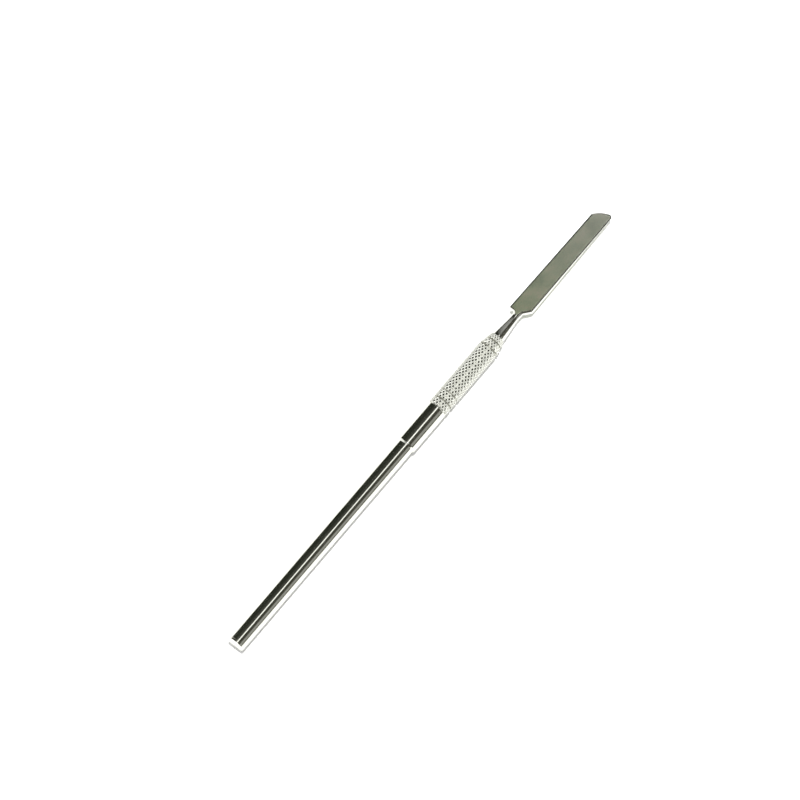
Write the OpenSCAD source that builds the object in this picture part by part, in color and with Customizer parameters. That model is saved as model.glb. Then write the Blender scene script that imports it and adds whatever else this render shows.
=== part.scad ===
// Slim all-metal spudger: a flat pry blade held in a knurled grip on a round handle.
// X runs from the handle's end to the blade's tip, Y runs across the blade and Z is up.
// The origin is under the middle of the tool's length, on the surface that it lies on.
// Stations along the tool are measured from the handle's end; at() turns one into an X.

/* [Overall] */
// Length from the handle's end to the blade's tip
overall_l = 180; // [174:1:190]

/* [Handle] */
// Outside diameter of the handle
handle_d = 5.7; // [5.5:0.1:5.8]
// Visible length of the handle, from its end to the collar
handle_l = 82.0; // [75:0.1:90]
// Bore of the handle tube
tube_bore_d = 3.6; // [3.4:0.1:3.8]
// Length of the end plug's head, which is flush with the tube
plug_head_l = 0.6; // [0.4:0.1:1.0]
// Length of the end plug's spigot inside the tube
plug_spigot_l = 6.0; // [4:0.5:10]

/* [Collar] */
// Outside diameter of the smooth collar
collar_d = 6.6; // [6.5:0.1:6.7]
// Length of the collar
collar_l = 15.6; // [14:0.1:17]

/* [Grip] */
// Diameter of the knurled grip across the points of its knurl
grip_d = 6.85; // [6.8:0.05:7.4]
// Rows of knurl points round the grip, each of which is a flat here
knurl_rows = 18; // [16:2:24]
// Length of the grip with its nose
grip_l = 29.5; // [28:0.1:32]
// Length of the tapered nose
nose_l = 4.3; // [4.0:0.1:4.6]
// Diameter at the front of the nose
nose_front_d = 4.8; // [4.7:0.1:5.0]
// Width of a ring groove
groove_w = 0.5; // [0.3:0.05:0.6]
// Depth of a ring groove
groove_depth = 0.35; // [0.2:0.05:0.4]

/* [Core] */
// Diameter of the core, and of the tube's turned-down end, inside the collar and grip
core_d = 4.7; // [4.5:0.1:4.8]
// Length of the core's spigot inside the handle tube
core_spigot_l = 14.0; // [10:0.5:20]
// Length of the handle tube inside the collar
tube_seat_l = 7.0; // [5:0.5:8]
// Depth of the blade socket in the core
socket_l = 14.0; // [11:0.5:16]
// Diameter of the blade's tang
tang_d = 3.0; // [2.8:0.1:3.1]
// Diameter of the two cross pins
pin_d = 1.5; // [1.0:0.1:1.6]

/* [Neck] */
// Diameter of the neck where it leaves the nose
neck_d = 4.2; // [4.0:0.1:4.3]
// Diameter of the neck at its narrowest
neck_min_d = 2.6; // [2.4:0.1:2.7]
// Length of the neck from the nose to the square shoulder of the blade
neck_l = 9.9; // [9:0.1:13]

/* [Blade] */
// Width of the blade behind its shoulders
heel_w = 6.3; // [5.8:0.1:6.6]
// Width of the blade at its tip
tip_w = 5.6; // [5.2:0.05:5.7]
// Thickness of the blade at its heel
heel_t = 2.8; // [2.7:0.1:3.0]
// Thickness of the blade at its tip
tip_t = 0.4; // [0.3:0.05:0.6]
// Angle of the slanted shoulder, from the tool's axis
slant_angle = 39; // [35:1:50]
// How far the slanted shoulder ends in front of the square shoulder
slant_end = 3.2; // [3.0:0.1:4.0]
// Length of the slanted front edge along the tool
front_run = 3.2; // [3.1:0.1:3.4]

/* [Hidden] */
$fn = 96;

// Height of the tool's axis when one of the grip's flats lies on a surface
axis_z = grip_d / 2 * cos(180 / knurl_rows);

// Stations along the tool, from the handle's end
collar_s = handle_l;
grip_s = collar_s + collar_l;
nose_s = grip_s + grip_l;
blade_s = nose_s + neck_l;
tube_end_s = collar_s + tube_seat_l;
// The core ends, and the tang's shoulder seats, this far behind the front of the nose
core_to_nose = 6.4;
core_end_s = nose_s - core_to_nose;
socket_s = core_end_s - socket_l;

// Ring grooves: two behind the grip's rear edge, two behind the front of its nose
rear_grooves = [2.6, 5.65];
front_grooves = [4.75, 2.1];

// Small edge breaks
plug_chamfer = 0.15;
collar_rear_chamfer = 0.45;
collar_front_chamfer = 0.3;
grip_rear_chamfer = 0.3;
core_chamfer = 0.3;
tang_chamfer = 0.4;
// Clearance between the neck and the nose's bore
nose_gap = 0.02;
// Cross pins: how far each pin's middle lies behind the end of the piece it locks
handle_pin_back = 3.5;
blade_pin_back = 7.5;
// The pins stop this far short of the surface of the piece that they cross
pin_short = 0.1;

// The neck tapers from just in front of the nose to where it starts to flatten
neck_lead = 0.6;
neck_flatten = 1.3;
neck_steps = 14;
// The round neck ends this far inside the blade's heel
neck_bury = 0.8;

// Corners of the blade's outline
root_hw = 0.4 * neck_min_d;
// Half the blade's thickness where it comes out of the neck
root_ht = 0.28 * neck_min_d;
square_fillet_r = 1.3;
slant_fillet_r = 1.5;
heel_corner_r = 0.15;
front_corner_r = 1.0;
front_r = 9;
tip_r = 1.0;
front_start_angle = 42;
front_end_angle = 65;
corner_steps = 8;

function at(s) = s - overall_l / 2;

// Half the blade's width at a station: it narrows evenly from heel to tip
function blade_hw(s) =
    (heel_w + (tip_w - heel_w) * (s - blade_s) / (overall_l - blade_s)) / 2;

// Points of an arc of radius r that rounds corner p between its neighbours a and b
function rounded(a, p, b, r) =
    r <= 0 ? [p] :
    let (u = (a - p) / norm(a - p), v = (b - p) / norm(b - p))
    let (half = acos(u * v) / 2, m = (u + v) / norm(u + v))
    let (c = p + m * r / sin(half), q = p + u * r / tan(half) - c)
    let (turn = sign(u[1] * v[0] - u[0] * v[1]) * (180 - 2 * half))
    [for (i = [0 : corner_steps])
        let (t = turn * i / corner_steps)
        c + [q[0] * cos(t) - q[1] * sin(t), q[0] * sin(t) + q[1] * cos(t)]];

// An outline whose corners are given as [x, y, radius]
function rounded_outline(v) =
    let (n = len(v), p = [for (c = v) [c[0], c[1]]])
    [for (i = [0 : n - 1])
        each rounded(p[(i + n - 1) % n], p[i], p[(i + 1) % n], v[i][2])];

// A turned solid on the tool's axis; its profile is [station, radius] points
module turned(profile) {
    translate([at(0), 0, axis_z])
        rotate([0, 90, 0])
            rotate_extrude()
                polygon([for (p = profile) [p[1], p[0]]]);
}

// A round bar or hole on the tool's axis between two stations
module bar(s0, s1, d) {
    translate([at(s0), 0, axis_z])
        rotate([0, 90, 0])
            cylinder(d = d, h = s1 - s0);
}

// A round bar or hole across the tool, centred on its axis
module cross_bar(s, d, l) {
    translate([at(s), 0, axis_z])
        rotate([90, 0, 0])
            cylinder(d = d, h = l, center = true);
}

// The flat disc that closes the handle's end, with the spigot that holds it in the tube
module end_plug() {
    r = handle_d / 2;
    spigot_r = tube_bore_d / 2;
    spigot_s = plug_head_l + plug_spigot_l;
    color("gainsboro")
        turned([[0, 0], [0, r - plug_chamfer], [plug_chamfer, r], [plug_head_l, r],
                [plug_head_l, spigot_r], [spigot_s, spigot_r], [spigot_s, 0]]);
}

// The polished handle, turned down at its front end to seat in the collar
module handle_tube() {
    color("silver")
        difference() {
            union() {
                bar(plug_head_l, collar_s, handle_d);
                bar(plug_head_l, tube_end_s, core_d);
            }
            bar(0, overall_l, tube_bore_d);
            cross_bar(tube_end_s - handle_pin_back, pin_d, 2 * handle_d);
        }
}

// The inner bar that joins handle, collar and grip, and takes the blade's tang
module core_spindle() {
    r = core_d / 2;
    spigot_r = tube_bore_d / 2;
    spigot_s = tube_end_s - core_spigot_l;
    color("darkgray")
        difference() {
            turned([[spigot_s, 0], [spigot_s, spigot_r - core_chamfer],
                    [spigot_s + core_chamfer, spigot_r], [tube_end_s, spigot_r],
                    [tube_end_s, r], [core_end_s, r], [core_end_s, 0]]);
            bar(socket_s, overall_l, tang_d);
            cross_bar(tube_end_s - handle_pin_back, pin_d, 2 * handle_d);
            cross_bar(core_end_s - blade_pin_back, pin_d, 2 * handle_d);
        }
}

// The cross pin through the tube and the core, under the collar
module handle_pin() {
    color("dimgray")
        cross_bar(tube_end_s - handle_pin_back, pin_d, core_d - 2 * pin_short);
}

// The smooth collar behind the grip
module collar() {
    r = collar_d / 2;
    color("silver")
        difference() {
            turned([[collar_s, 0], [collar_s, r - collar_rear_chamfer],
                    [collar_s + collar_rear_chamfer, r], [grip_s - collar_front_chamfer, r],
                    [grip_s, r - collar_front_chamfer], [grip_s, 0]]);
            bar(0, overall_l, core_d);
        }
}

// One ring groove round the grip
module ring_groove(s) {
    translate([at(s - groove_w / 2), 0, axis_z])
        rotate([0, 90, 0])
            difference() {
                cylinder(d = grip_d + 1, h = groove_w);
                translate([0, 0, -1])
                    cylinder(r = grip_surface_r(s) - groove_depth, h = groove_w + 2);
            }
}

// Radius of the grip's outside at a station
function grip_surface_r(s) =
    let (into_nose = max(0, s - (nose_s - nose_l)))
    grip_d / 2 - into_nose / nose_l * (grip_d - nose_front_d) / 2;

// The flats that stand for the rows of knurl points, one of them facing down
module knurl_flats() {
    r = grip_d / 2;
    translate([at(grip_s), 0, axis_z])
        rotate([0, 90, 0])
            linear_extrude(height = grip_l)
                polygon([for (i = [0 : knurl_rows - 1])
                    r * [cos((i + 0.5) * 360 / knurl_rows), sin((i + 0.5) * 360 / knurl_rows)]]);
}

// The knurled grip with its ring grooves and tapered nose
module grip_sleeve() {
    r = grip_d / 2;
    color("lightgray")
        difference() {
            intersection() {
                turned([[grip_s, 0], [grip_s, r - grip_rear_chamfer],
                        [grip_s + grip_rear_chamfer, r], [nose_s - nose_l, r],
                        [nose_s, nose_front_d / 2], [nose_s, 0]]);
                knurl_flats();
            }
            bar(0, core_end_s, core_d);
            bar(core_end_s - 1, overall_l, neck_d + 2 * nose_gap);
            for (s = rear_grooves) ring_groove(grip_s + s);
            for (s = front_grooves) ring_groove(nose_s - s);
        }
}

// The cross pin through the core and the tang, under the grip
module blade_pin() {
    color("dimgray")
        cross_bar(core_end_s - blade_pin_back, pin_d, core_d - 2 * pin_short);
}

// The round tang and neck, which ends inside the blade's heel
module neck_and_tang() {
    neck_s = nose_s + neck_lead;
    flat_s = blade_s - neck_flatten;
    neck_r = neck_d / 2;
    min_r = neck_min_d / 2;
    tang_r = tang_d / 2;
    taper = [for (i = [0 : neck_steps])
        let (t = i / neck_steps)
        [neck_s + (flat_s - neck_s) * t, min_r + (neck_r - min_r) * (1 + cos(180 * t)) / 2]];
    turned(concat(
        [[socket_s, 0], [socket_s, tang_r - tang_chamfer], [socket_s + tang_chamfer, tang_r],
         [core_end_s, tang_r], [core_end_s, neck_r]],
        taper,
        [[blade_s + neck_bury, min_r], [blade_s + neck_bury, 0]]));
}

// The flat of the blade: its outline, cut to a thickness that tapers to the tip
module blade_flat() {
    root_s = blade_s - 2 * neck_flatten;
    slant_s = blade_s + slant_end;
    slant_root_s = slant_s - (blade_hw(slant_s) - root_hw) / tan(slant_angle);
    front_s = overall_l - front_run;
    tip_s = overall_l + tip_r * (1 / tan(front_end_angle / 2) - 1);
    front_from = [front_s, blade_hw(front_s)];
    front_to = [tip_s, -blade_hw(overall_l)];
    chord = front_to - front_from;
    lead = (chord[0] * sin(front_end_angle) + chord[1] * cos(front_end_angle))
        / sin(front_end_angle - front_start_angle);
    bend = front_from + lead * [cos(front_start_angle), -sin(front_start_angle)];
    outline = rounded_outline([
        [root_s, root_hw, 0],
        [blade_s, root_hw, square_fillet_r],
        [blade_s, blade_hw(blade_s), heel_corner_r],
        [front_from[0], front_from[1], front_corner_r],
        [bend[0], bend[1], front_r],
        [front_to[0], front_to[1], tip_r],
        [slant_s, -blade_hw(slant_s), heel_corner_r],
        [slant_root_s, -root_hw, slant_fillet_r],
        [root_s, -root_hw, 0]]);
    translate([at(0), 0, axis_z])
        intersection() {
            translate([0, 0, -heel_t])
                linear_extrude(height = 2 * heel_t)
                    polygon(outline);
            rotate([90, 0, 0])
                linear_extrude(height = 2 * heel_w, center = true)
                    polygon([[root_s - 1, root_ht], [root_s, root_ht], [blade_s, heel_t / 2],
                             [overall_l + 1, tip_t / 2], [overall_l + 1, -tip_t / 2],
                             [blade_s, -heel_t / 2], [root_s, -root_ht], [root_s - 1, -root_ht]]);
        }
}

// The blade in one piece with its neck and tang
module blade() {
    color([0.54, 0.56, 0.47])
        difference() {
            union() {
                neck_and_tang();
                blade_flat();
            }
            cross_bar(core_end_s - blade_pin_back, pin_d, 2 * handle_d);
        }
}

end_plug();
handle_tube();
core_spindle();
handle_pin();
collar();
grip_sleeve();
blade_pin();
blade();
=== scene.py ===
"""Looks for the metal spudger: polished handle, knurled grip and ground blade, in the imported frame."""

import math

import bpy
import numpy as np
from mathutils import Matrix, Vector


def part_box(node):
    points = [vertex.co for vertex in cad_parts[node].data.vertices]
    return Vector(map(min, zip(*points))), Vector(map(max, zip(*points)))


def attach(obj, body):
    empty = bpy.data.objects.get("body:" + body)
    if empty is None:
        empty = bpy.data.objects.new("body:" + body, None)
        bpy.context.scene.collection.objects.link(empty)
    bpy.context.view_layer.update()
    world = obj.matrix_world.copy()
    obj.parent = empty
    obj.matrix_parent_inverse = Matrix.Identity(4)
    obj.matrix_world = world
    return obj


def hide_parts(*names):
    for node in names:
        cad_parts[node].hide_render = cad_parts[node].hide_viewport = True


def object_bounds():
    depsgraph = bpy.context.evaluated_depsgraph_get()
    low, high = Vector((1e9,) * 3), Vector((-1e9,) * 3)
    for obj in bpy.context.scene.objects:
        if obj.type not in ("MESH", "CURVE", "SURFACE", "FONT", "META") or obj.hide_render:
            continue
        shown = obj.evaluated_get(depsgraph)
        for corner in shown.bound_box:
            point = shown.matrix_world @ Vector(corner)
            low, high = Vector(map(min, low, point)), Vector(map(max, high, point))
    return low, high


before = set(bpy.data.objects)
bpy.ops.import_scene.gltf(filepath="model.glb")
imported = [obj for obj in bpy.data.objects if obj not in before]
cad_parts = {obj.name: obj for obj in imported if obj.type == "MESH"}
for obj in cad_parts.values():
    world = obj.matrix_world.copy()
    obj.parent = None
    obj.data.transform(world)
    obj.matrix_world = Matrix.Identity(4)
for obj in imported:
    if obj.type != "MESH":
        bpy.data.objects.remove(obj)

CAD_LOW, CAD_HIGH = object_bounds()
MM = 0.001

# The frame's own places, in metres. The tool's axis runs along X at AXIS_Z.
PLUG_LOW, PLUG_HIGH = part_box("end_plug")
TUBE_LOW, TUBE_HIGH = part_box("handle_tube")
CORE_LOW, CORE_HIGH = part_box("core_spindle")
COLLAR_LOW, COLLAR_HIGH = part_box("collar")
GRIP_LOW, GRIP_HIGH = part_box("grip_sleeve")
BLADE_LOW, BLADE_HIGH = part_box("blade")
AXIS_Z = (TUBE_LOW.z + TUBE_HIGH.z) / 2
HANDLE_R = (TUBE_HIGH.z - TUBE_LOW.z) / 2
COLLAR_R = (COLLAR_HIGH.z - COLLAR_LOW.z) / 2
CORE_R = (CORE_HIGH.y - CORE_LOW.y) / 2
# The knurl's points lie where the grip's flats do, so that the grip rests on the floor
GRIP_R = AXIS_Z

# Sizes that no box of the frame gives follow part.scad, and the finest ones are only here.
# Turned pieces: the tube's bore, and how their edges are broken, coned and rounded
BORE_R = 1.8 * MM
EDGE_BREAK = 0.04 * MM
PLUG_ROUND = 0.15 * MM
COLLAR_CONE = math.radians(38)
COLLAR_STEP = 0.01 * MM
COLLAR_SOFT_EDGE = 0.35 * MM
COLLAR_FRONT_RUN = 0.35 * MM
TURNED_SEGMENTS = 192

# Grip: knurl, ring grooves and nose
KNURL_STARTS = 18
KNURL_LEAD = 1.58 * MM
KNURL_DEPTH = 0.2 * MM
KNURL_LAND = 0.58
KNURL_STEPS = 14
KNURL_NOSE_FADE = 0.45
GRIP_CHAMFER = 0.3 * MM
NOSE_L = 4.3 * MM
NOSE_FRONT_R = 2.4 * MM
GROOVE_W = 0.5 * MM
GROOVE_DEPTH = 0.38 * MM
GROOVE_WALL = 0.004 * MM
REAR_GROOVES = (2.6 * MM, 5.65 * MM)
FRONT_GROOVES = (4.75 * MM, 2.1 * MM)

# Neck and blade, with the tang behind them
TANG_R = 1.5 * MM
NECK_R = 2.1 * MM
NECK_BORE_R = NECK_R + 0.02 * MM
NECK_MIN_R = 1.3 * MM
NECK_LEAD = 0.6 * MM
NECK_FLATTEN = 1.3 * MM
NECK_CONE = 0.75
NECK_BLEND = 0.12 * MM
NECK_L = 9.9 * MM
HEEL_W = 6.3 * MM
TIP_W = 5.6 * MM
HEEL_T = 2.8 * MM
TIP_T = 0.4 * MM
SLANT_ANGLE = math.radians(39)
SLANT_END = 3.2 * MM
FRONT_RUN = 3.2 * MM
SQUARE_FILLET_R = 1.3 * MM
SLANT_FILLET_R = 1.5 * MM
HEEL_CORNER_R = 0.15 * MM
FRONT_CORNER_R = 1.0 * MM
FRONT_R = 9 * MM
TIP_R = 1.0 * MM
FRONT_START_ANGLE = math.radians(42)
FRONT_END_ANGLE = math.radians(65)
ROOT_HALF_W = 0.8 * NECK_MIN_R
BLADE_X = GRIP_HIGH.x + NECK_L
TIP_X = BLADE_HIGH.x

# The blade's edges: their bevel, and where the neck's round section turns into it
EDGE_RUN = 0.40 * MM
EDGE_DROP = 0.24 * MM
EDGE_SHARE = 0.6
SHOULDER_EDGE = 0.5 * MM
INNER_FACE = 0.9
FLATTEN_START = BLADE_X - 1.6 * NECK_FLATTEN
EDGE_START = BLADE_X - 1.2 * NECK_FLATTEN
SQUARE_EDGE_END = BLADE_X + 0.2 * MM
SLANT_EDGE_END = BLADE_X + SLANT_END - SLANT_FILLET_R

# How many sections the blade's mesh has along each stretch and across, and its smallest steps
NECK_STATIONS = 60
BLADE_STATIONS = 150
SHOULDER_STATIONS = 90
TIP_STATIONS = 16
STATIONS_ACROSS = 56
ARC_STEPS = 14
LEAST_STEP = 0.0003 * MM
LEAST_GROWTH = 0.0005 * MM


# ---------------------------------------------------------------- meshes

def add_mesh(name, points, faces, sharp_angle=30):
    """A smooth-shaded object whose edges sharper than sharp_angle stay crisp."""
    mesh = bpy.data.meshes.new(name)
    mesh.from_pydata([tuple(p) for p in points], [], [tuple(f) for f in faces])
    mesh.update()
    mesh.shade_smooth()
    mesh.set_sharp_from_angle(angle=math.radians(sharp_angle))
    piece = bpy.data.objects.new(name, mesh)
    bpy.context.scene.collection.objects.link(piece)
    return piece


def point_values(piece, name, values):
    """Stores one number for each point of a piece's mesh, which its material reads by that name."""
    layer = piece.data.attributes.new(name, "FLOAT", "POINT")
    layer.data.foreach_set("value", values.astype(np.float32))


def ring_points(x, r, angles):
    """Points at those angles round the tool's axis, with x and r as numbers or as grids."""
    return np.stack([x + 0 * angles, r * np.sin(angles), AXIS_Z + r * np.cos(angles)], -1)


def eased(x, start, end):
    """0 before start and 1 after end, with a smooth rise between them."""
    t = np.clip((x - start) / (end - start), 0, 1)
    return t * t * (3 - 2 * t)


def held(profile):
    """The profile with a point close to both ends of each long run, so that shading stays flat there."""
    near, out = 0.03 * MM, [profile[0]]
    for (x0, r0), (x1, r1) in zip(profile, profile[1:]):
        run = math.hypot(x1 - x0, r1 - r0)
        if run > 10 * near:
            for t in (near / run, 1 - near / run):
                out.append((x0 + (x1 - x0) * t, r0 + (r1 - r0) * t))
        out.append((x1, r1))
    return out


def lathe(name, profile, closed=False):
    """A turned piece on the tool's axis. profile is (x, radius) points; a closed one makes a sleeve."""
    angles = 2 * math.pi * np.arange(TURNED_SEGMENTS) / TURNED_SEGMENTS
    points, rings = [], []
    for x, r in held(profile):
        if r == 0:
            rings.append([len(points)] * TURNED_SEGMENTS)
            points.append((x, 0, AXIS_Z))
        else:
            rings.append(list(range(len(points), len(points) + TURNED_SEGMENTS)))
            points += list(ring_points(x, r, angles))
    if closed:
        rings.append(rings[0])
    faces = []
    for near, far in zip(rings, rings[1:]):
        for k in range(TURNED_SEGMENTS):
            n = (k + 1) % TURNED_SEGMENTS
            corners = [near[k], far[k], far[n], near[n]]
            faces.append([c for i, c in enumerate(corners) if c != corners[i - 1]])
    return add_mesh(name, points, faces)


def end_plug():
    """The flat disc that closes the handle's end, with its spigot in the tube."""
    x0, x1 = PLUG_LOW.x, TUBE_LOW.x
    edge = [(x0 + PLUG_ROUND * (1 - math.cos(a)), HANDLE_R - PLUG_ROUND * (1 - math.sin(a)))
            for a in np.radians(np.linspace(0, 90, 6))]
    return lathe("end_plug_disc", [
        (x0, 0), (x0, HANDLE_R * 0.5), *edge,
        (x1 - EDGE_BREAK, HANDLE_R), (x1, HANDLE_R - EDGE_BREAK),
        (x1, BORE_R), (PLUG_HIGH.x, BORE_R), (PLUG_HIGH.x, 0)])


def handle_tube():
    """The polished tube, turned down where the collar covers it."""
    x0, x1, step = TUBE_LOW.x, TUBE_HIGH.x, COLLAR_LOW.x
    return lathe("handle_tube_polished", [
        (x0, BORE_R), (x0, HANDLE_R - EDGE_BREAK), (x0 + EDGE_BREAK, HANDLE_R),
        (step, HANDLE_R), (step, CORE_R), (x1, CORE_R), (x1, BORE_R)], closed=True)


def collar():
    """The smooth ring behind the grip: a shallow cone behind, with a soft edge, and rounded in front."""
    x0, x1 = COLLAR_LOW.x, COLLAR_HIGH.x
    low = HANDLE_R + COLLAR_STEP
    cone_run = (COLLAR_R - low) / math.tan(COLLAR_CONE)
    soft = COLLAR_SOFT_EDGE
    middle_x, middle_r = x0 + cone_run + soft * math.tan(COLLAR_CONE / 2), COLLAR_R - soft
    rear = [(middle_x - soft * math.sin(a), middle_r + soft * math.cos(a))
            for a in np.linspace(COLLAR_CONE, 0, 6)]
    front = [(x1 - COLLAR_FRONT_RUN * (1 - math.sin(a)),
              COLLAR_R - COLLAR_FRONT_RUN * (1 - math.cos(a)))
             for a in np.radians(np.linspace(0, 80, 12))]
    return lathe("collar_ring", [(x0, CORE_R), (x0, low), *rear, *front, (x1, CORE_R)], closed=True)


def triangle_wave(phase):
    """1 where the phase is whole and 0 halfway between."""
    return np.abs(2 * (phase - np.floor(phase)) - 1)


def grip_crest(x):
    """Radius of the knurl's points at a place along the grip, and the knurl's depth there."""
    nose_x = GRIP_HIGH.x - NOSE_L
    into_nose = np.clip((x - nose_x) / NOSE_L, 0, 1)
    crest = GRIP_R - into_nose * (GRIP_R - NOSE_FRONT_R)
    rear = np.clip((x - GRIP_LOW.x) / GRIP_CHAMFER, 0, 1)
    depth = KNURL_DEPTH * (1 - KNURL_NOSE_FADE * into_nose)
    return crest - GRIP_CHAMFER * (1 - rear), depth


def groove_middles():
    """Places of the four ring grooves along the tool."""
    rear = [GRIP_LOW.x + back for back in REAR_GROOVES]
    return rear + [GRIP_HIGH.x - back for back in FRONT_GROOVES]


def grip_radius(x, angle):
    """Radius of the grip's surface, and its height from 0 in the cuts to 1 on the lands.

    Two crossing families of V grooves leave diamonds, and the ring grooves cut through them.
    """
    crest, depth = grip_crest(x)
    turn = KNURL_STARTS * angle / (2 * math.pi)
    along = (x - GRIP_LOW.x) / KNURL_LEAD
    ridge = np.minimum(triangle_wave(turn + along), triangle_wave(turn - along))
    height = np.clip(ridge / (1 - KNURL_LAND), 0, 1)
    radius = crest - depth * (1 - height)
    for middle in groove_middles():
        inside = np.abs(x - middle) < GROOVE_W / 2
        radius = np.where(inside, np.minimum(radius, crest - GROOVE_DEPTH), radius)
        height = np.where(inside, 0, height)
    return radius, height


def grip_stations():
    """Places of the rings along the grip: even steps of the knurl, and both walls of each groove."""
    step = KNURL_LEAD / KNURL_STEPS
    count = int((GRIP_HIGH.x - GRIP_LOW.x) / step)
    places = [GRIP_LOW.x + step * i for i in range(count + 1)] + [GRIP_HIGH.x]
    for middle in groove_middles():
        for side in (-1, 1):
            edge = middle + side * GROOVE_W / 2
            places = [p for p in places if abs(p - edge) > 0.25 * step]
            places += [edge - GROOVE_WALL, edge + GROOVE_WALL]
    return np.array(sorted(places))


def crease_diagonals(xs, angles, radius):
    """For each cell of the grip's grid, whether its rising diagonal follows the creases better.

    The one that passes closer to the true surface at the cell's middle does.
    """
    mid_x, mid_a = np.meshgrid((xs[:-1] + xs[1:]) / 2, angles + math.pi / len(angles), indexing="ij")
    middle, _ = grip_radius(mid_x, mid_a)
    over = np.roll(radius, -1, axis=1)
    rising = (radius[:-1] + over[1:]) / 2
    falling = (over[:-1] + radius[1:]) / 2
    return np.abs(rising - middle) <= np.abs(falling - middle)


def grip_sleeve():
    """The knurled grip, with its bore."""
    xs = grip_stations()
    around = KNURL_STARTS * KNURL_STEPS
    angles = 2 * math.pi * np.arange(around) / around
    x_grid, a_grid = np.meshgrid(xs, angles, indexing="ij")
    radius, height = grip_radius(x_grid, a_grid)
    bore = [(GRIP_HIGH.x, NECK_BORE_R), (CORE_HIGH.x, NECK_BORE_R),
            (CORE_HIGH.x, CORE_R), (GRIP_LOW.x, CORE_R)]
    rings = [*ring_points(x_grid, radius, a_grid), *(ring_points(x, r, angles) for x, r in bore)]
    use_rising = crease_diagonals(xs, angles, radius)
    faces, last = [], len(rings) - 1
    for i in range(len(rings)):
        j = (i + 1) % len(rings)
        for k in range(around):
            n = (k + 1) % around
            a, b, c, d = i * around + k, j * around + k, j * around + n, i * around + n
            if i < len(xs) - 1 and use_rising[i, k]:
                faces += [(a, b, c), (a, c, d)]
            elif i < last:
                faces += [(a, b, d), (b, c, d)]
            else:
                faces.append((a, b, c, d))
    piece = add_mesh("grip_knurled", np.concatenate(rings), faces, sharp_angle=34)
    point_values(piece, "knurl_height", np.concatenate([height.ravel(), np.zeros(len(bore) * around)]))
    return piece


# ---------------------------------------------------------------- blade

def rounded(before, corner, after, radius):
    """Points of an arc that rounds a corner of the blade's outline."""
    if radius == 0:
        return [corner]
    u = (before - corner) / np.linalg.norm(before - corner)
    v = (after - corner) / np.linalg.norm(after - corner)
    half = math.acos(float(u @ v)) / 2
    m = (u + v) / np.linalg.norm(u + v)
    centre = corner + m * radius / math.sin(half)
    arm = corner + u * radius / math.tan(half) - centre
    turn = math.copysign(math.pi - 2 * half, float(u[1] * v[0] - u[0] * v[1]))
    out = []
    for t in np.linspace(0, turn, ARC_STEPS):
        c, s = math.cos(t), math.sin(t)
        out.append(centre + np.array([arm[0] * c - arm[1] * s, arm[0] * s + arm[1] * c]))
    return out


def blade_half_width(x):
    """Half the blade's width: it narrows evenly from heel to tip."""
    return (HEEL_W + (TIP_W - HEEL_W) * (x - BLADE_X) / (TIP_X - BLADE_X)) / 2


def neck_radius(x):
    """Radius of the round neck: a cone that eases out where it meets the blade."""
    start, end = GRIP_HIGH.x + NECK_LEAD, BLADE_X - NECK_FLATTEN
    t = np.clip((x - start) / (end - start), 0, 1)
    sweep = NECK_CONE * (1 - t) + (1 - NECK_CONE) * (1 + np.cos(math.pi * t)) / 2
    return NECK_MIN_R + (NECK_R - NECK_MIN_R) * sweep


def blade_sides():
    """The blade's outline as two chains of (x, y) from its root to its tip: square side, slanted side."""
    root_x = BLADE_X - 2 * NECK_FLATTEN
    slant_x = BLADE_X + SLANT_END
    slant_root_x = slant_x - (blade_half_width(slant_x) - ROOT_HALF_W) / math.tan(SLANT_ANGLE)
    front_from = np.array([TIP_X - FRONT_RUN, blade_half_width(TIP_X - FRONT_RUN)])
    far_tip = TIP_X + TIP_R * (1 / math.tan(FRONT_END_ANGLE / 2) - 1)
    front_to = np.array([far_tip, -blade_half_width(TIP_X)])
    chord = front_to - front_from
    lead = chord[0] * math.sin(FRONT_END_ANGLE) + chord[1] * math.cos(FRONT_END_ANGLE)
    lead /= math.sin(FRONT_END_ANGLE - FRONT_START_ANGLE)
    bend = front_from + lead * np.array([math.cos(FRONT_START_ANGLE), -math.sin(FRONT_START_ANGLE)])
    corners = [
        ((root_x, ROOT_HALF_W), 0),
        ((BLADE_X, ROOT_HALF_W), SQUARE_FILLET_R),
        ((BLADE_X, blade_half_width(BLADE_X)), HEEL_CORNER_R),
        (front_from, FRONT_CORNER_R),
        (bend, FRONT_R),
        (front_to, TIP_R),
        ((slant_x, -blade_half_width(slant_x)), HEEL_CORNER_R),
        ((slant_root_x, -ROOT_HALF_W), SLANT_FILLET_R),
        ((root_x, -ROOT_HALF_W), 0)]
    places = [np.array(c[0], float) for c in corners]
    outline = []
    for i, (_, radius) in enumerate(corners):
        outline += rounded(places[i - 1], places[i], places[(i + 1) % len(places)], radius)
    outline = np.array(outline)
    tip = int(np.argmax(outline[:, 0]))
    return outline[:tip + 1], outline[tip:][::-1]


def without_folds(chain):
    """The chain with its x always growing a little, so that a square shoulder stays a steep wall."""
    x = chain[:, 0].copy()
    for i in range(1, len(x)):
        x[i] = max(x[i], x[i - 1] + LEAST_GROWTH)
    return x, chain[:, 1]


def distance_to(points, line):
    """Distance of each (x, y) point to a chain of points."""
    a, b = line[:-1], line[1:]
    ab = b - a
    length = np.maximum((ab ** 2).sum(1), 1e-18)
    best = np.full(len(points), 1.0)
    for start, side, size in zip(a, ab, length):
        t = np.clip(((points - start) @ side) / size, 0, 1)
        gap = points - start - t[:, None] * side
        best = np.minimum(best, np.sqrt((gap ** 2).sum(1)))
    return best


def smooth_max(a, b, k):
    """The larger of two values, blended where they are within k of each other."""
    h = np.clip(0.5 + 0.5 * (a - b) / k, 0, 1)
    return b + (a - b) * h + k * h * (1 - h)


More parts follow.
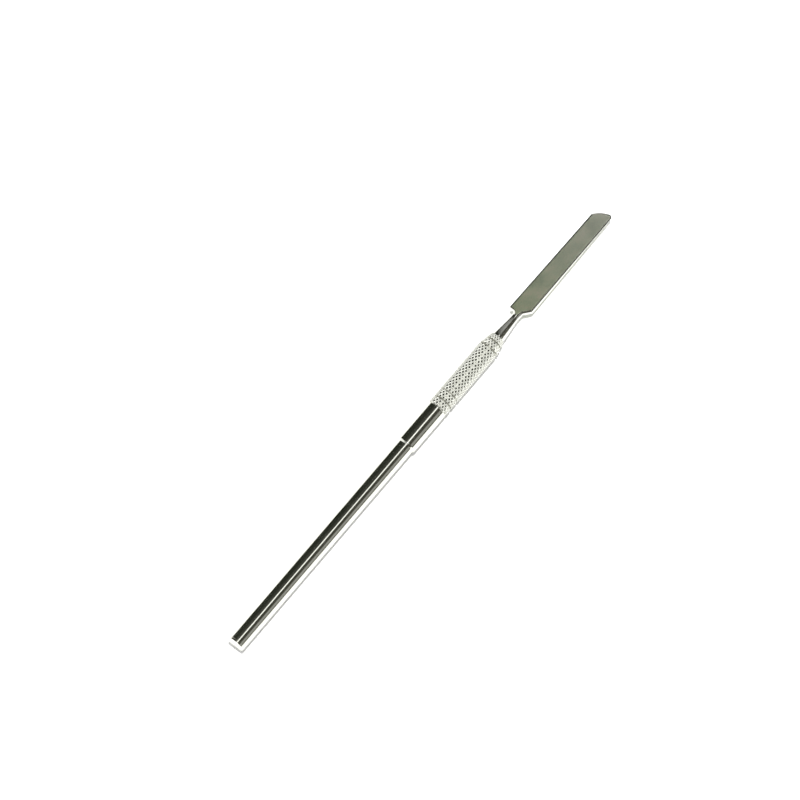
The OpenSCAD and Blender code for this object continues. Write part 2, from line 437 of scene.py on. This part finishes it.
def blade_thickness(x):
    """Half the thickness along the neck and blade: the neck's radius, then an even wedge to the tip."""
    wedge = (HEEL_T + (TIP_T - HEEL_T) * (x - BLADE_X) / (TIP_X - BLADE_X)) / 2
    t = eased(x, FLATTEN_START, BLADE_X)
    return neck_radius(x) * (1 - t) + wedge * t


def edge_rounding(x, side):
    """How far the section's edges reach across and down, and its flatness from 0 to 1.

    It is a full round in the neck and bevelled on the blade. The neck's round runs on to the
    slanted shoulder (side -1), but stops at the square one (side 1).
    """
    t = eased(x, EDGE_START, np.where(side < 0, SLANT_EDGE_END, SQUARE_EDGE_END))
    run = neck_radius(x) * (1 - t) + EDGE_RUN * t
    drop = neck_radius(x) * (1 - t) + np.minimum(EDGE_DROP, EDGE_SHARE * blade_thickness(x)) * t
    return run, np.minimum(drop, blade_thickness(x)), t


def blade_stations(upper_x, lower_x):
    """Places of the sections along neck and blade, closest together at the shoulders and the tip."""
    neck = np.linspace(CORE_HIGH.x, upper_x[0], NECK_STATIONS)[:-1]
    even = np.linspace(upper_x[0], TIP_X - 0.01 * MM, BLADE_STATIONS)
    shoulders = np.linspace(BLADE_X - NECK_FLATTEN, BLADE_X + SLANT_END + 0.5 * MM, SHOULDER_STATIONS)
    close_to_tip = TIP_X - 0.6 * MM * np.linspace(1, 0.002, TIP_STATIONS) ** 2
    xs = np.unique(np.concatenate([neck, upper_x, lower_x, even, shoulders, close_to_tip]))
    xs = xs[xs <= TIP_X - 0.001 * MM]
    return xs[np.concatenate([[True], np.diff(xs) > LEAST_STEP])]


def blade_surface(xs, ys, outline):
    """Half thickness over a grid of places, rounded towards the outline, and 1 inside its edges."""
    grid_x = np.repeat(xs[:, None], ys.shape[1], axis=1)
    gap = distance_to(np.stack([grid_x.ravel(), ys.ravel()], 1), outline).reshape(ys.shape)
    run, drop, flat = edge_rounding(grid_x, np.sign(ys))
    on_shoulder = (grid_x < BLADE_X + SLANT_END) & (ys < 0)
    run = np.where(on_shoulder, run + (SHOULDER_EDGE - EDGE_RUN) * flat, run)
    drop = np.where(on_shoulder, drop + (SHOULDER_EDGE - EDGE_DROP) * flat, drop)
    near = np.clip(1 - gap / run, 0, 1)
    rounding = (1 - flat) * (1 - np.sqrt(1 - near * near)) + flat * near
    inner = np.clip((gap / run - INNER_FACE) / (1 - INNER_FACE), 0, 1)
    return blade_thickness(grid_x) - drop * rounding, inner


def blade_with_neck():
    """Blade, neck and tang in one piece: sections along the tool, rounded towards its outline."""
    upper, lower = blade_sides()
    upper_x, upper_y = without_folds(upper)
    lower_x, lower_y = without_folds(lower)
    xs = blade_stations(upper_x, lower_x)
    neck = neck_radius(xs) - NECK_BLEND / 4
    before_blade = xs < BLADE_X + NECK_MIN_R
    out_y = np.interp(xs, upper_x, upper_y)
    in_y = np.interp(xs, lower_x, lower_y)
    out_y = np.where(before_blade, smooth_max(out_y, neck, NECK_BLEND), out_y)
    in_y = np.where(before_blade, -smooth_max(-in_y, neck, NECK_BLEND), in_y)
    outline = np.concatenate([np.stack([xs, out_y], 1), np.stack([xs, in_y], 1)[::-1]])
    # points crowd towards both edges, where the rounding is
    share = (1 - np.cos(np.linspace(0, math.pi, STATIONS_ACROSS + 1))) / 2
    share = 0.6 * share + 0.4 * eased(share, 0, 1)
    ys = in_y[:, None] + (out_y - in_y)[:, None] * share[None, :]
    z, inner = blade_surface(xs, ys, outline)
    return blade_mesh(xs, ys, z, inner)


def blade_mesh(xs, ys, z, inner):
    """Joins the sections' upper and lower halves, and adds the round tang behind them."""
    rows, columns = z.shape
    grid_x = np.repeat(xs[:, None], columns, axis=1)
    top = np.stack([grid_x, ys, AXIS_Z + z], -1)
    bottom = np.stack([grid_x, ys, AXIS_Z - z], -1)[:, ::-1]
    rings = np.concatenate([top, bottom], 1)
    around = 2 * columns
    points = list(rings.reshape(-1, 3))
    faces = []
    for i in range(rows - 1):
        for k in range(around):
            n = (k + 1) % around
            faces.append((i * around + k, i * around + n, (i + 1) * around + n, (i + 1) * around + k))
    first = list(range(around))
    last = [(rows - 1) * around + k for k in range(around)]
    faces.append(tuple(last))
    spread = rings[0] - np.array([rings[0][0][0], 0, AXIS_Z])
    for x in (CORE_HIGH.x, BLADE_LOW.x):
        ring = spread * (TANG_R / NECK_R) + np.array([x, 0, AXIS_Z])
        start = len(points)
        points += list(ring)
        for k in range(around):
            n = (k + 1) % around
            faces.append((first[k], start + k, start + n, first[n]))
        first = list(range(start, start + around))
    faces.append(tuple(reversed(first)))
    piece = add_mesh("blade_and_neck", points, faces, sharp_angle=24)
    flat = np.concatenate([inner, inner[:, ::-1]], 1).ravel()
    point_values(piece, "inner_face", np.concatenate([flat, np.zeros(len(points) - len(flat))]))
    return piece


# ---------------------------------------------------------------- materials

class Nodes:
    """Short ways to add nodes to one tree, most of which return the new node's output."""

    def __init__(self, tree):
        self.tree = tree
        self.tree.nodes.clear()

    def add(self, kind, **values):
        node = self.tree.nodes.new(kind)
        for name, value in values.items():
            setattr(node, name, value)
        return node

    def link(self, source, target):
        self.tree.links.new(source, target)

    def feed(self, socket, item):
        if isinstance(item, bpy.types.NodeSocket):
            self.link(item, socket)
        else:
            socket.default_value = item

    def math(self, operation, *items):
        node = self.add("ShaderNodeMath", operation=operation)
        for socket, item in zip(node.inputs, items):
            self.feed(socket, item)
        return node.outputs[0]

    def mix(self, share, first, second):
        node = self.add("ShaderNodeMix", data_type="FLOAT")
        for place, item in zip((0, 2, 3), (share, first, second)):
            self.feed(node.inputs[place], item)
        return node.outputs[0]

    def mix_colours(self, share, first, second, blend="MIX"):
        node = self.add("ShaderNodeMix", data_type="RGBA", blend_type=blend)
        for place, item in zip((0, 6, 7), (share, first, second)):
            self.feed(node.inputs[place], item)
        return node.outputs[2]

    def split(self, vector):
        node = self.add("ShaderNodeSeparateXYZ")
        self.link(vector, node.inputs[0])
        return tuple(node.outputs)

    def point_value(self, name):
        return self.add("ShaderNodeAttribute", attribute_name=name).outputs["Fac"]

    def noise(self, vector, scale, detail=4, roughness=0.55):
        node = self.add("ShaderNodeTexNoise")
        self.link(vector, node.inputs["Vector"])
        node.inputs["Scale"].default_value = scale
        node.inputs["Detail"].default_value = detail
        node.inputs["Roughness"].default_value = roughness
        return node.outputs["Fac"]

    def stretched(self, vector, x, y, z):
        node = self.add("ShaderNodeMapping")
        self.link(vector, node.inputs["Vector"])
        node.inputs["Scale"].default_value = (x, y, z)
        return node.outputs["Vector"]

    def remap(self, item, low, high, to_low, to_high, kind="LINEAR"):
        node = self.add("ShaderNodeMapRange", interpolation_type=kind)
        self.feed(node.inputs[0], item)
        for socket, number in zip(node.inputs[1:5], (low, high, to_low, to_high)):
            socket.default_value = number
        return node.outputs[0]

    def ease(self, item, low, high, to_low, to_high):
        return self.remap(item, low, high, to_low, to_high, "SMOOTHSTEP")

    def ramp(self, item, stops):
        node = self.add("ShaderNodeValToRGB")
        self.link(item, node.inputs[0])
        band = node.color_ramp
        while len(band.elements) < len(stops):
            band.elements.new(0.5)
        for element, (place, colour) in zip(band.elements, stops):
            element.position = place
            element.color = (*colour, 1)
        return node.outputs[0]

    def bump(self, height, strength, distance, normal=None):
        node = self.add("ShaderNodeBump")
        node.inputs["Strength"].default_value = strength
        node.inputs["Distance"].default_value = distance
        self.link(height, node.inputs["Height"])
        if normal is not None:
            self.link(normal, node.inputs["Normal"])
        return node.outputs["Normal"]


def steel(name):
    """A metal material with its tree, its shader and object coordinates in metres."""
    material = bpy.data.materials.new(name)
    material.use_nodes = True
    nodes = Nodes(material.node_tree)
    out = nodes.add("ShaderNodeOutputMaterial")
    shader = nodes.add("ShaderNodeBsdfPrincipled")
    shader.inputs["Metallic"].default_value = 1.0
    nodes.link(shader.outputs[0], out.inputs["Surface"])
    place = nodes.add("ShaderNodeTexCoord").outputs["Object"]
    return material, nodes, shader, place


def polished_steel():
    """Mirror-bright steel with fine lengthwise polishing lines, faint smudges and tiny pits."""
    material, nodes, shader, place = steel("polished_steel")
    smudge = nodes.noise(place, 160, detail=5)
    lines = nodes.noise(nodes.stretched(place, 60, 2600, 2600), 1.0, detail=3)
    specks = nodes.noise(place, 5200, detail=2)
    colour = nodes.ramp(smudge, [(0.3, (0.66, 0.67, 0.60)), (0.7, (0.74, 0.74, 0.67))])
    nodes.link(colour, shader.inputs["Base Color"])
    rough = nodes.math("ADD", nodes.remap(smudge, 0.35, 0.7, 0.09, 0.15),
                       nodes.remap(lines, 0.4, 0.75, 0.0, 0.05))
    nodes.link(rough, shader.inputs["Roughness"])
    fine = nodes.bump(lines, 0.05, 0.00002)
    nodes.link(nodes.bump(specks, 0.02, 0.00001, fine), shader.inputs["Normal"])
    return material


def knurled_steel():
    """Cut steel: painted shade in the cuts, facets painted pale as painted reflection, smooth lands
    painted dark.
    """
    material, nodes, shader, place = steel("knurled_steel")
    height = nodes.point_value("knurl_height")
    patchy = nodes.noise(place, 700, detail=4)
    painted_light_by_height = nodes.math("ADD", height, nodes.remap(patchy, 0.3, 0.7, -0.12, 0.12))
    # Painted light by height: painted shade deep in the cuts, facets painted pale, lands painted darker to
    # deepen the dark room they mirror, all made patchy by noise
    colour = nodes.ramp(painted_light_by_height, [(0.0, (0.30, 0.30, 0.25)), (0.12, (0.70, 0.70, 0.63)),
                                (0.25, (0.92, 0.93, 0.87)), (0.80, (0.92, 0.93, 0.87)),
                                (0.96, (0.48, 0.48, 0.42))])
    nodes.link(colour, shader.inputs["Base Color"])
    nodes.link(nodes.remap(height, 0.85, 0.98, 0.34, 0.13), shader.inputs["Roughness"])
    # The facets are partly matte so the tent's light whitens them: a painted reflection of the white floor
    nodes.link(nodes.remap(height, 0.85, 0.98, 0.6, 1.0), shader.inputs["Metallic"])
    cut = nodes.noise(place, 9000, detail=3)
    nodes.link(nodes.bump(cut, 0.12, 0.00002), shader.inputs["Normal"])
    return material


def blade_steel():
    """Fine-ground satin faces, greenish grey, with crossing grind marks and faint heat tints.

    The neck and the blade's bevels stay polished. The satin gets paler towards the tip.
    """
    material, nodes, shader, place = steel("blade_steel")
    cloud = nodes.noise(place, 210, detail=4)
    grain = nodes.noise(nodes.stretched(place, 5200, 420, 420), 1.0, detail=4)
    fleck = nodes.noise(place, 2600, detail=5)
    tone = nodes.math("ADD", nodes.math("MULTIPLY", cloud, 0.6), nodes.math("MULTIPLY", fleck, 0.4))
    colour = nodes.ramp(tone, [(0.38, (0.60, 0.69, 0.48)), (0.5, (0.71, 0.77, 0.54)),
                               (0.62, (0.82, 0.80, 0.60))])
    rough = nodes.math("ADD", nodes.remap(cloud, 0.3, 0.7, 0.36, 0.44),
                       nodes.remap(grain, 0.3, 0.7, -0.03, 0.03))
    bright = nodes.ramp(cloud, [(0.3, (0.68, 0.68, 0.63)), (0.7, (0.75, 0.75, 0.70))])
    bright_rough = nodes.remap(cloud, 0.3, 0.7, 0.12, 0.18)
    along = nodes.split(place)[0]
    satin = nodes.ease(along, BLADE_X - 3.5 * MM, BLADE_X + 0.2 * MM, 0, 1)
    satin = nodes.math("MULTIPLY", satin, nodes.point_value("inner_face"))
    nodes.link(nodes.mix(satin, bright_rough, rough), shader.inputs["Roughness"])
    # The colour turns paler towards the tip
    paler_to_tip = nodes.remap(along, BLADE_X, TIP_X, 0.0, 0.55)
    tint = nodes.mix_colours(paler_to_tip, nodes.mix_colours(satin, bright, colour), (1, 1, 0.92, 1))
    nodes.link(tint, shader.inputs["Base Color"])
    ground = nodes.bump(grain, 0.16, 0.00001)
    nodes.link(nodes.bump(fleck, 0.1, 0.00001, ground), shader.inputs["Normal"])
    return material


def turned_steel():
    """Plain turned steel for the hidden core and pins, with rings from the tool."""
    material, nodes, shader, place = steel("turned_steel")
    rings = nodes.noise(nodes.stretched(place, 6000, 90, 90), 1.0, detail=3)
    colour = nodes.ramp(rings, [(0.3, (0.50, 0.50, 0.48)), (0.7, (0.60, 0.60, 0.57))])
    nodes.link(colour, shader.inputs["Base Color"])
    nodes.link(nodes.remap(rings, 0.3, 0.7, 0.28, 0.42), shader.inputs["Roughness"])
    nodes.link(nodes.bump(rings, 0.3, 0.00002), shader.inputs["Normal"])
    return material


# ---------------------------------------------------------------- studio

TENT_LIGHT = 0.75
FLOOR_HALF = 5.0
FLOOR_WHITE = (0.9, 0.9, 0.9, 1)
SUN_LIGHT = 3.4
SUN_TILT = math.radians(4)
SUN_SPREAD = math.radians(5)

# What bright metal mirrors, by direction. A direction has a part along the tool, a part across it
# and a part upwards, each from -1 to 1, and a tilt in degrees from straight up towards -Y.
ROOM_COLOURS = [
    (0.00, (0.026, 0.028, 0.021)), (0.28, (0.030, 0.033, 0.025)), (0.42, (0.062, 0.064, 0.055)),
    (0.60, (0.058, 0.060, 0.048)), (0.74, (0.070, 0.068, 0.054)), (0.93, (0.10, 0.10, 0.08)),
    (1.00, (0.09, 0.09, 0.07))]
STRIP_TILTS = (4, 15)
STRIP_SOFTNESS = 1.5
STRIP_END = (0.33, 0.40)
STRIP_SHINE = 1.7
# Each panel has its reach along the tool, its tilts, how soft those are, and its shine
SCREEN = ((0.08, 0.34), (50, 77), 3, 0.30)
CARD = ((0.44, 0.74), (-75, 12), 6, 0.40)
PANEL_SOFT_ENDS = 0.04
# Each wall fades in or out between two values along the tool, and between two across it
WALL_AHEAD, WALL_AHEAD_SIDE = (0.55, 0.65), (-0.05, 0.05)
WALL_BEHIND, WALL_BEHIND_SIDE = (0.05, 0.15), (-0.25, 0.05)
WALL_TOP = (0.30, 0.60)
WALL_SHINE = 1.3
SOFT_BOX = Vector((-0.27, -0.22, 0.94)).normalized()
SOFT_BOX_ANGLES = (math.radians(15), math.radians(21))
SOFT_BOX_SHINE = 1.4


def floor():
    """A plain white floor, far larger than the view."""
    h = FLOOR_HALF
    plane = add_mesh("floor", [(-h, -h, 0), (h, -h, 0), (h, h, 0), (-h, h, 0)], [(0, 1, 2, 3)])
    material = bpy.data.materials.new("floor_white")
    material.use_nodes = True
    nodes = Nodes(material.node_tree)
    out = nodes.add("ShaderNodeOutputMaterial")
    shader = nodes.add("ShaderNodeBsdfDiffuse")
    shader.inputs["Color"].default_value = FLOOR_WHITE
    nodes.link(shader.outputs[0], out.inputs["Surface"])
    plane.data.materials.append(material)


def between(nodes, item, low, high, soft):
    """1 between two values and 0 outside them, with soft edges."""
    up = nodes.ease(item, low - soft, low + soft, 0, 1)
    down = nodes.ease(item, high - soft, high + soft, 1, 0)
    return nodes.math("MULTIPLY", up, down)


def strip_lamp(nodes, along, tilt):
    """A long lamp over the tool: its image is the bright line on handle and collar."""
    return nodes.math("MULTIPLY", between(nodes, tilt, *STRIP_TILTS, STRIP_SOFTNESS),
                      nodes.ease(along, *STRIP_END, STRIP_SHINE, 0))


def panel(nodes, along, tilt, reach, tilts, soft, shine):
    """A panel of light that fills a reach along the tool and a range of tilts."""
    seen = nodes.math("MULTIPLY", between(nodes, tilt, *tilts, soft),
                      between(nodes, along, *reach, PANEL_SOFT_ENDS))
    return nodes.math("MULTIPLY", seen, shine)


def bright_walls(nodes, along, across, up):
    """Two bright walls low down: ahead of the tool on its -Y side, and behind it on its +Y side."""
    ahead = nodes.math("MULTIPLY", nodes.ease(along, *WALL_AHEAD, 0, 1),
                       nodes.ease(across, *WALL_AHEAD_SIDE, 1, 0))
    behind = nodes.math("MULTIPLY", nodes.ease(along, *WALL_BEHIND, 1, 0),
                        nodes.ease(across, *WALL_BEHIND_SIDE, 0, 1))
    low = nodes.ease(up, *WALL_TOP, WALL_SHINE, 0)
    return nodes.math("MULTIPLY", low, nodes.math("ADD", ahead, behind))


def soft_box(nodes, direction):
    """A round soft box nearly overhead, leaning towards the handle's end."""
    facing = nodes.add("ShaderNodeVectorMath", operation="DOT_PRODUCT")
    nodes.link(direction, facing.inputs[0])
    facing.inputs[1].default_value = SOFT_BOX
    full, edge = (math.cos(angle) for angle in SOFT_BOX_ANGLES)
    return nodes.ease(facing.outputs["Value"], edge, full, 0, SOFT_BOX_SHINE)


def mirrored_room(nodes):
    """What bright metal mirrors: a dim room with a strip lamp, a screen, a card, walls and a soft box."""
    direction = nodes.add("ShaderNodeTexCoord").outputs["Generated"]
    along, across, up = nodes.split(direction)
    tilt = nodes.math("DEGREES", nodes.math("ARCTAN2", nodes.math("MULTIPLY", across, -1.0), up))
    room = nodes.ramp(nodes.remap(tilt, -90, 90, 0, 1), ROOM_COLOURS)
    shine = strip_lamp(nodes, along, tilt)
    for light in (panel(nodes, along, tilt, *SCREEN), panel(nodes, along, tilt, *CARD),
                  bright_walls(nodes, along, across, up), soft_box(nodes, direction)):
        shine = nodes.math("ADD", shine, light)
    return nodes.mix_colours(1.0, room, shine, "ADD")


def background(nodes, colour, strength):
    """A background shader of that colour, as a socket or a plain value."""
    node = nodes.add("ShaderNodeBackground")
    nodes.feed(node.inputs["Color"], colour)
    node.inputs["Strength"].default_value = strength
    return node.outputs[0]


def studio():
    """A white tent that lights the floor and the object, and the darker room that bright metal mirrors."""
    world = bpy.data.worlds.new("studio")
    world.use_nodes = True
    bpy.context.scene.world = world
    world.cycles.sampling_method = "NONE"
    nodes = Nodes(world.node_tree)
    mix = nodes.add("ShaderNodeMixShader")
    nodes.link(nodes.add("ShaderNodeLightPath").outputs["Is Glossy Ray"], mix.inputs[0])
    nodes.link(background(nodes, (1, 1, 1, 1), TENT_LIGHT), mix.inputs[1])
    nodes.link(background(nodes, mirrored_room(nodes), 1.0), mix.inputs[2])
    out = nodes.add("ShaderNodeOutputWorld")
    nodes.link(mix.outputs[0], out.inputs["Surface"])
    bpy.context.scene.view_settings.view_transform = "Standard"


def lamp():
    """The one lamp: high up, leaning towards the blade's tip, and small enough for a readable shadow."""
    data = bpy.data.lights.new("lamp", "SUN")
    data.energy = SUN_LIGHT
    data.angle = SUN_SPREAD
    sun = bpy.data.objects.new("lamp", data)
    bpy.context.scene.collection.objects.link(sun)
    sun.rotation_euler = (0, SUN_TILT, 0)
    sun.visible_glossy = False


def camera():
    """The camera looks down from behind the handle, with the tool a little off the frame's middle."""
    azimuth, elevation = math.radians(-51.2), math.radians(70)
    lens, sensor = 800.0, 36.0
    seen_width = 243.7 * MM
    aim_left, aim_up = 0.0266 * seen_width, 0.0339 * seen_width
    back = Vector((math.sin(azimuth) * math.cos(elevation),
                   -math.cos(azimuth) * math.cos(elevation), math.sin(elevation)))
    right = Vector((math.cos(azimuth), math.sin(azimuth), 0))
    up = back.cross(right)
    middle = (CAD_LOW + CAD_HIGH) / 2
    aim = middle - right * aim_left + up * aim_up
    data = bpy.data.cameras.new("camera")
    data.lens, data.sensor_width = lens, sensor
    data.clip_start, data.clip_end = 0.01, 20
    view = bpy.data.objects.new("camera", data)
    bpy.context.scene.collection.objects.link(view)
    view.location = aim + back * (seen_width * lens / sensor)
    view.rotation_mode = "QUATERNION"
    view.rotation_quaternion = (-back).to_track_quat("-Z", "Y")
    bpy.context.scene.camera = view


def finish_piece(piece, material, node):
    """Gives a piece its material and ties it to the frame."""
    piece.data.materials.append(material)
    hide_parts(node)
    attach(piece, "root")


camera()
floor()
studio()
lamp()
polished, knurled, ground, turned = polished_steel(), knurled_steel(), blade_steel(), turned_steel()
finish_piece(end_plug(), polished, "end_plug")
finish_piece(handle_tube(), polished, "handle_tube")
finish_piece(collar(), polished, "collar")
finish_piece(grip_sleeve(), knurled, "grip_sleeve")
finish_piece(blade_with_neck(), ground, "blade")
for hidden in ("core_spindle", "handle_pin", "blade_pin"):
    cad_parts[hidden].data.materials.clear()
    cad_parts[hidden].data.materials.append(turned)
